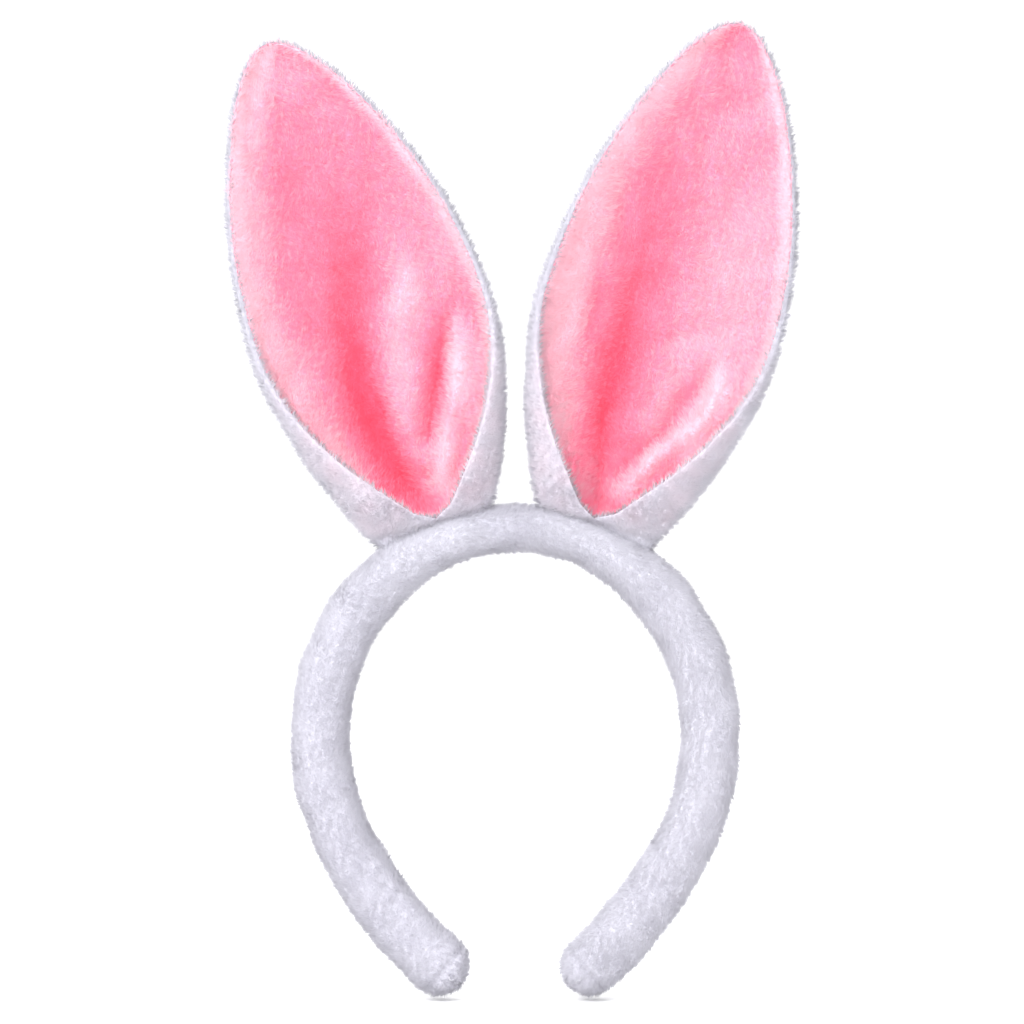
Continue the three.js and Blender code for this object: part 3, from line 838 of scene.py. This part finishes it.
class HEADBAND_OT_band_cover(bpy.types.Operator):
    """Makes the band's white plush cover: cloth and pile, in two halves that meet at the crown"""

    bl_idname = "headband.band_cover"
    bl_label = "Band cover"

    def execute(self, context):
        for side in SIDES:
            nodes = ["cover_crown", f"cover_{side}_arm"]
            grid = band_grid(side, 190, 64, PILE_OUT, lap=True)
            cloth = add_body(f"band_cloth_{side}", grid, "white_cloth", self.measures(grid))
            declare(cloth, nodes, blend=flex_blend(side))
            grid = band_grid(side, 190, 64, PILE_OUT, start=-SIGN[side] * LAP)
            measures = self.measures(grid)
            for number, (part, rows) in enumerate((("crown", slice(0, 96)), ("arm", slice(95, None)))):
                seed = 100 + 10 * len(side) + number
                pile = add_pile(
                    f"band_pile_{side}_{part}", grid[rows], "white_pile",
                    {key: values[rows] for key, values in measures.items()}, seed, wrap=True,
                    lean=0.7 * SIGN[side], long=0.8,
                )
                declare(pile, nodes, blend=flex_blend(side))
        return {"FINISHED"}

    @staticmethod
    def measures(grid):
        """The plush's measures at the grid's points: soft random light patches, and painted shade between the ears
        and on the left arm."""
        # Painted shade on the crown between the ears, and painted shade over the left arm.
        crown = np.exp(-((grid[..., 0] / 15) ** 2)) * rise(grid[..., 2], -30, -10)
        left = rise(-grid[..., 0], 25, 50)
        painted_light_and_tone = 0.5 + 0.10 * swells(grid, 16.0, 71)[0] - 0.9 * crown - 0.7 * left
        return {"painted_light_and_tone": painted_light_and_tone, "tip": np.zeros_like(painted_light_and_tone), "pink_bounce": np.zeros_like(painted_light_and_tone)}


class HEADBAND_OT_band_inside(bpy.types.Operator):
    """Makes the sponge and the springy strip inside the band"""

    bl_idname = "headband.band_inside"
    bl_label = "Band inside"

    def execute(self, context):
        for side in SIDES:
            sponge = add_body(f"band_sponge_{side}", band_grid(side, 60, 24, 3.6, lumps=False), "sponge_pad")
            declare(sponge, ["foam_crown", f"foam_{side}_arm"], blend=flex_blend(side))
            distance = np.linspace(0, BAND_LONG - 5, 60)
            centre, normal = band_line(distance, side)
            turn = -SIGN[side] * (np.arange(16) + 0.5) * math.pi / 8
            flat = STRIP_HALF[0] * powered(np.cos(turn), 0.6)
            broad = STRIP_HALF[1] * powered(np.sin(turn), 0.6)
            grid = centre[:, None] + flat[None, :, None] * normal[:, None]
            grid = grid + broad[None, :, None] * np.array([0.0, 1.0, 0.0])
            strip = add_body(f"band_strip_{side}", grid, "strip", head="flat")
            declare(strip, ["core_crown", f"core_{side}_arm"], blend=flex_blend(side))
        return {"FINISHED"}


class HEADBAND_OT_band_seams(bpy.types.Operator):
    """Makes the cover's long seam and the thread that closes each end"""

    bl_idname = "headband.band_seams"
    bl_label = "Band seams"

    def execute(self, context):
        settings = context.scene.headband_band
        for side in SIDES:
            distance = np.linspace(0.5, BAND_LONG - 2, 520)
            centre, normal = band_line(distance, side)
            weave = 0.25 * np.sin(distance * 2 * math.pi / 3.2)
            path = centre - normal * (BAND_MIDDLE - PILE_OUT + weave)[:, None]
            path[:, 1] = 0.35 * np.cos(distance * 2 * math.pi / 3.2)
            seam = add_rod(f"band_seam_{side}", path, normal, SEAM_THREAD, "white_sewing", 6)
            declare(seam, ["seam_crown", f"seam_{side}_arm"], blend=flex_blend(side))
            angle = np.linspace(-1.05, 1.05, 90)
            end, facing = band_line(BAND_LONG, side)
            along = np.array([SIGN[side] * facing[2], 0.0, -abs(facing[0])])
            reach = settings.arm_thick / MM / 2 - PILE_OUT + 0.3 * np.sin(angle * 20)
            path = end + along * (reach * np.cos(angle))[:, None]
            path[:, 1] = (settings.depth / MM / 2 - PILE_OUT) * np.sin(angle)
            path += facing * 0.5 * np.cos(angle * 20)[:, None]
            tie = add_rod(f"band_end_thread_{side}", path, np.tile(facing, (90, 1)), TIE_THREAD, "white_sewing", 6)
            declare(tie, [f"end_stitch_{side}"], f"{side}_arm")
        return {"FINISHED"}


class HEADBAND_OT_ear_panels(bpy.types.Operator):
    """Makes each ear's white back and pink front: cloth and pile, in a root part and a top part"""

    bl_idname = "headband.ear_panels"
    bl_label = "Ear panels"

    def execute(self, context):
        faces = {
            "back": ("white", -SEAM_ANGLE, math.pi + SEAM_ANGLE, 130),
            "front": ("pink", SEAM_ANGLE - math.pi, -SEAM_ANGLE, 130),
        }
        for side in SIDES:
            ear = EARS[side]
            for layer, (dye, first, last, columns) in faces.items():
                for number, part in enumerate(("root", "top")):
                    height = ear_heights(ear, part, 80 if part == "root" else 110)
                    angle = np.linspace(first, last, columns)[None]
                    name = f"{side}_ear_{layer}_{part}"
                    nodes = ear_nodes(side, layer, part)
                    motion = ear_blend(side, part)
                    grid, measures = self.panel(ear, dye, angle, cloth_heights(height, part)[:, None], part)
                    cloth = add_cloth(f"{name}_cloth", ear_place(side, grid), f"{dye}_cloth", measures)
                    declare(cloth, nodes, blend=motion)
                    seed = 200 + 40 * len(side) + 10 * number + len(layer)
                    grid, measures = self.panel(ear, dye, angle, height[:, None], part)
                    grid = ear_place(side, grid)
                    pile = add_pile(f"{name}_pile", grid, f"{dye}_pile", measures, seed, lean=0.5)
                    declare(pile, nodes, blend=motion)
            for number, part in enumerate(("root", "top")):
                self.rim(side, part, 300 + 40 * len(side) + 10 * number)
        return {"FINISHED"}

    @staticmethod
    def panel(ear, dye, angle, height, part):
        """Points of a panel, sunk where it goes on under the top part. White is painted darker beside the pink,
        painted shade where it turns in to the seam, by a bell over the angle to the panel's nearer edge."""
        under = LAP_DOWN * (height > EAR_SPLIT) * (part == "root")
        grid, measures = ear_skin(ear, angle, height, under)
        if dye == "white":
            beside = (angle.max() - angle.min()) / 2 - np.abs(angle - (angle.max() + angle.min()) / 2)
            # Painted shade on the white beside the pink seam.
            measures["painted_light_and_tone"] = 1.2 - 2.5 * np.exp(-((beside / 0.45) ** 2)) + 0 * height
        return grid, measures

    @staticmethod
    def rim(side, part, seed):
        """A fringe of white pile along each edge that leans in over the pink."""
        ear = EARS[side]
        height = ear_heights(ear, part, 110)[:, None]
        over = SEAM_ANGLE + 0.10
        spans = {"a": (-over, -0.02, 1.0), "b": (0.02 - math.pi, over - math.pi, -1.0)}
        for end, (first, last, sweep) in spans.items():
            grid, measures = ear_skin(ear, np.linspace(first, last, 12)[None], height)
            # Painted shade: the fringe is painted dark where it lies in the seam, and tinted with painted pink
            # bounce light.
            measures["painted_light_and_tone"] = np.full_like(measures["painted_light_and_tone"], -0.9)
            measures["pink_bounce"] = np.full_like(measures["painted_light_and_tone"], 1.1)
            name = f"{side}_ear_rim_{part}_{end}_pile"
            pile = add_pile(
                name, ear_place(side, grid), "white_pile", measures, seed, lean=0.3, sweep=-0.8 * sweep,
                long=0.7, ragged=0.6, more=1.2,
            )
            seed += 1
            declare(pile, ear_nodes(side, "back", part), blend=ear_blend(side, part))


class HEADBAND_OT_ear_inside(bpy.types.Operator):
    """Makes the filling and the edge wire inside each ear"""

    bl_idname = "headband.ear_inside"
    bl_label = "Ear inside"

    def execute(self, context):
        for side in SIDES:
            ear = EARS[side]
            for part in ("root", "top"):
                motion = ear_blend(side, part)
                low, high = (20.0, EAR_SPLIT) if part == "root" else (EAR_SPLIT, ear["long"] - 14)
                height = np.linspace(low, high, 60)[:, None]
                across = np.linspace(0.62, -0.62, 60)[None]
                soft = 0.2 * np.cos(across * 40) * np.cos(height * 0.9)
                grid = ear_place(side, ear_layer(ear, across, height, 0.4 + soft, 0.8)[0])
                fill = add_cloth(f"{side}_ear_fill_{part}", grid, "batting_pad", {}, wall=0.9)
                declare(fill, ear_nodes(side, "fill", part), blend=motion)
                path, out = self.wire_path(ear, part)
                path, turn = ear_place(side, path), ear_place(side, out) - ear_place(side, 0 * out)
                wire = add_rod(f"{side}_ear_wire_{part}", path, turn, WIRE, "wire_steel")
                declare(wire, ear_nodes(side, "wire", part), blend=motion)
        return {"FINISHED"}

    @staticmethod
    def wire_path(ear, part):
        """Points and outward normals along the wire. In the root it goes down one edge, across at a low height and
        up the other; in the top it goes over the tip, across by cosine to the power 0.25 and up by sine to 0.9."""
        edge, low = 0.9, 9.0
        if part == "root":
            turn = np.linspace(-edge, edge, 60)
            arm = np.linspace(EAR_SPLIT, low, 40)
            across = np.concatenate([np.full(40, -edge), turn[1:-1], np.full(40, edge)])
            height = np.concatenate([arm, np.full(58, low), arm[::-1]])
        else:
            angle = np.linspace(0, math.pi, 160)
            across = -edge * powered(np.cos(angle), 0.25)
            height = EAR_SPLIT + (ear["long"] - 7 - EAR_SPLIT) * np.sin(angle) ** 0.9
        return ear_layer(ear, across, height, np.zeros_like(height), 0.8)[:2]


class HEADBAND_OT_ear_seams(bpy.types.Operator):
    """Makes the seam thread along each ear's edge and the stitches that hold its root"""

    bl_idname = "headband.ear_seams"
    bl_label = "Ear seams"

    def execute(self, context):
        for side in SIDES:
            ear = EARS[side]
            for part in ("root", "top"):
                height = ear_heights(ear, part, 420)
                if part == "root":
                    height = height[height > 8.0]
                up = self.seam_run(ear, height, -SEAM_ANGLE)
                down = self.seam_run(ear, height[::-1], SEAM_ANGLE - math.pi)
                if part == "top":
                    runs = {"": np.concatenate([up, down[1:]])}
                else:
                    runs = {"_outer": up if side == "right" else down, "_inner": down if side == "right" else up}
                for end, path in runs.items():
                    path = ear_place(side, path)
                    front = np.tile((0.0, -1.0, 0.0), (len(path), 1))
                    seam = add_rod(f"{side}_ear_seam_{part}{end}", path, front, PINK_THREAD, "pink_sewing", 6)
                    nodes = ear_nodes(side, "edge_seam", part)
                    declare(seam, nodes, blend=ear_blend(side, part))
            self.root_stitches(side)
        return {"FINISHED"}

    @staticmethod
    def seam_run(ear, height, angle):
        """The seam's line at those heights, with the thread dipping in and out of the cloth every 3 mm."""
        grid, _ = ear_skin(ear, np.full(len(height), angle), height)
        _, out, _ = ear_middle(ear, np.full(len(height), math.cos(angle)), height)
        dip = 0.15 + 0.35 * np.sin(height * 2 * math.pi / 3.0)
        return grid - out * dip[:, None]

    @staticmethod
    def root_stitches(side):
        """A thread that wanders in small waves round the ear's root, in the crown's plush: an oval along the band
        by a turn round it."""
        angle = np.linspace(math.radians(100), math.radians(440), 400)
        distance = 25.6 + 20 * np.cos(angle)
        centre, normal = band_line(distance, side)
        around = 0.95 * np.sin(angle) + 0.05 * np.sin(24 * angle)
        lift = 6.6 + 0.4 * np.sin(24 * angle)
        path = centre + normal * (lift * np.cos(around) - 1.3)[:, None]
        path[:, 1] = (lift + 0.5) * np.sin(around)
        thread = add_rod(f"{side}_ear_root_stitch", path, normal, TIE_THREAD, "white_sewing", 6)
        declare(thread, [f"{side}_ear_root_stitch"], "crown")


class HEADBAND_OT_stage(bpy.types.Operator):
    """Makes the floor, the lights and the camera"""

    bl_idname = "headband.stage"
    bl_label = "Stage"

    def execute(self, context):
        scene = context.scene
        stage = scene.headband_stage
        low = min(CAD_BOX[0][2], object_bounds()[0][2])
        size = 4.0
        floor = bpy.data.meshes.new("floor")
        corners = [(-size, -size, low), (size, -size, low), (size, size, low), (-size, size, low)]
        floor.from_pydata(corners, [], [(0, 1, 2, 3)])
        floor_recipe = Recipe("floor_paper")
        grain = floor_recipe.noise(0.004, 2.0)
        colour = grain.blend((0.90, 0.90, 0.90), (0.93, 0.93, 0.93))
        floor.materials.append(floor_recipe.finish(Base_Color=colour, Roughness=0.9, Specular_IOR_Level=0.1))
        ground = bpy.data.objects.new("floor", floor)
        scene.collection.objects.link(ground)
        ground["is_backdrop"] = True

        world = bpy.data.worlds.new("white_room")
        world.use_nodes = True
        background = world.node_tree.nodes["Background"]
        background.inputs["Color"].default_value = (1.0, 1.0, 1.0, 1.0)
        background.inputs["Strength"].default_value = stage.sky
        scene.world = world

        middle = Vector((-0.001, 0.0, 0.013))
        for name, place, power, wide in (
            ("key", (-0.75, -1.15, 1.0), stage.key_power, 0.9),
            ("fill", (0.2, -1.7, 0.1), stage.key_power * 0.7, 1.2),
            ("back", (-0.5, 1.6, 0.9), stage.key_power, 1.2),
        ):
            light = bpy.data.lights.new(name, "AREA")
            light.shape = "DISK"
            light.size = wide
            light.energy = power
            lamp = bpy.data.objects.new(name, light)
            lamp.location = place
            lamp.rotation_euler = (middle - Vector(place)).to_track_quat("-Z", "Y").to_euler()
            scene.collection.objects.link(lamp)

        camera = bpy.data.cameras.new("camera")
        camera.lens = stage.lens
        camera.sensor_width = 36.0
        camera.clip_start, camera.clip_end = 0.05, 50.0
        eye = bpy.data.objects.new("camera", camera)
        eye.location = middle + Vector((0.0, -stage.distance, 0.0))
        eye.rotation_euler = (math.radians(90), 0.0, 0.0)
        scene.collection.objects.link(eye)
        scene.camera = eye
        scene.view_settings.view_transform = "Standard"
        return {"FINISHED"}


class HEADBAND_PT_panel(bpy.types.Panel):
    """Lists the headband's steps and settings"""

    bl_idname = "HEADBAND_PT_panel"
    bl_label = "Rabbit Ears Headband"
    bl_space_type = "VIEW_3D"
    bl_region_type = "UI"
    bl_category = "Headband"

    def draw(self, context):
        for step in STEPS:
            self.layout.operator(step.bl_idname)
        for group in (context.scene.headband_band, context.scene.headband_plush, context.scene.headband_stage):
            box = self.layout.box()
            for key in group.__annotations__:
                box.prop(group, key)


STEPS = (
    HEADBAND_OT_band_cover,
    HEADBAND_OT_band_inside,
    HEADBAND_OT_band_seams,
    HEADBAND_OT_ear_panels,
    HEADBAND_OT_ear_inside,
    HEADBAND_OT_ear_seams,
    HEADBAND_OT_stage,
)
SETTINGS = {
    "headband_band": BandSettings,
    "headband_plush": PlushSettings,
    "headband_stage": StageSettings,
}


def register():
    for kind in (*SETTINGS.values(), *STEPS, HEADBAND_PT_panel):
        bpy.utils.register_class(kind)
    for key, kind in SETTINGS.items():
        setattr(bpy.types.Scene, key, PointerProperty(type=kind))


def unregister():
    for key in SETTINGS:
        delattr(bpy.types.Scene, key)
    for kind in reversed((*SETTINGS.values(), *STEPS, HEADBAND_PT_panel)):
        bpy.utils.unregister_class(kind)


def main():
    register()
    for step in STEPS:
        family, name = step.bl_idname.split(".")
        if getattr(getattr(bpy.ops, family), name)() != {"FINISHED"}:
            raise RuntimeError(f"{step.bl_label} did not finish")


if __name__ == "__main__":
    main()
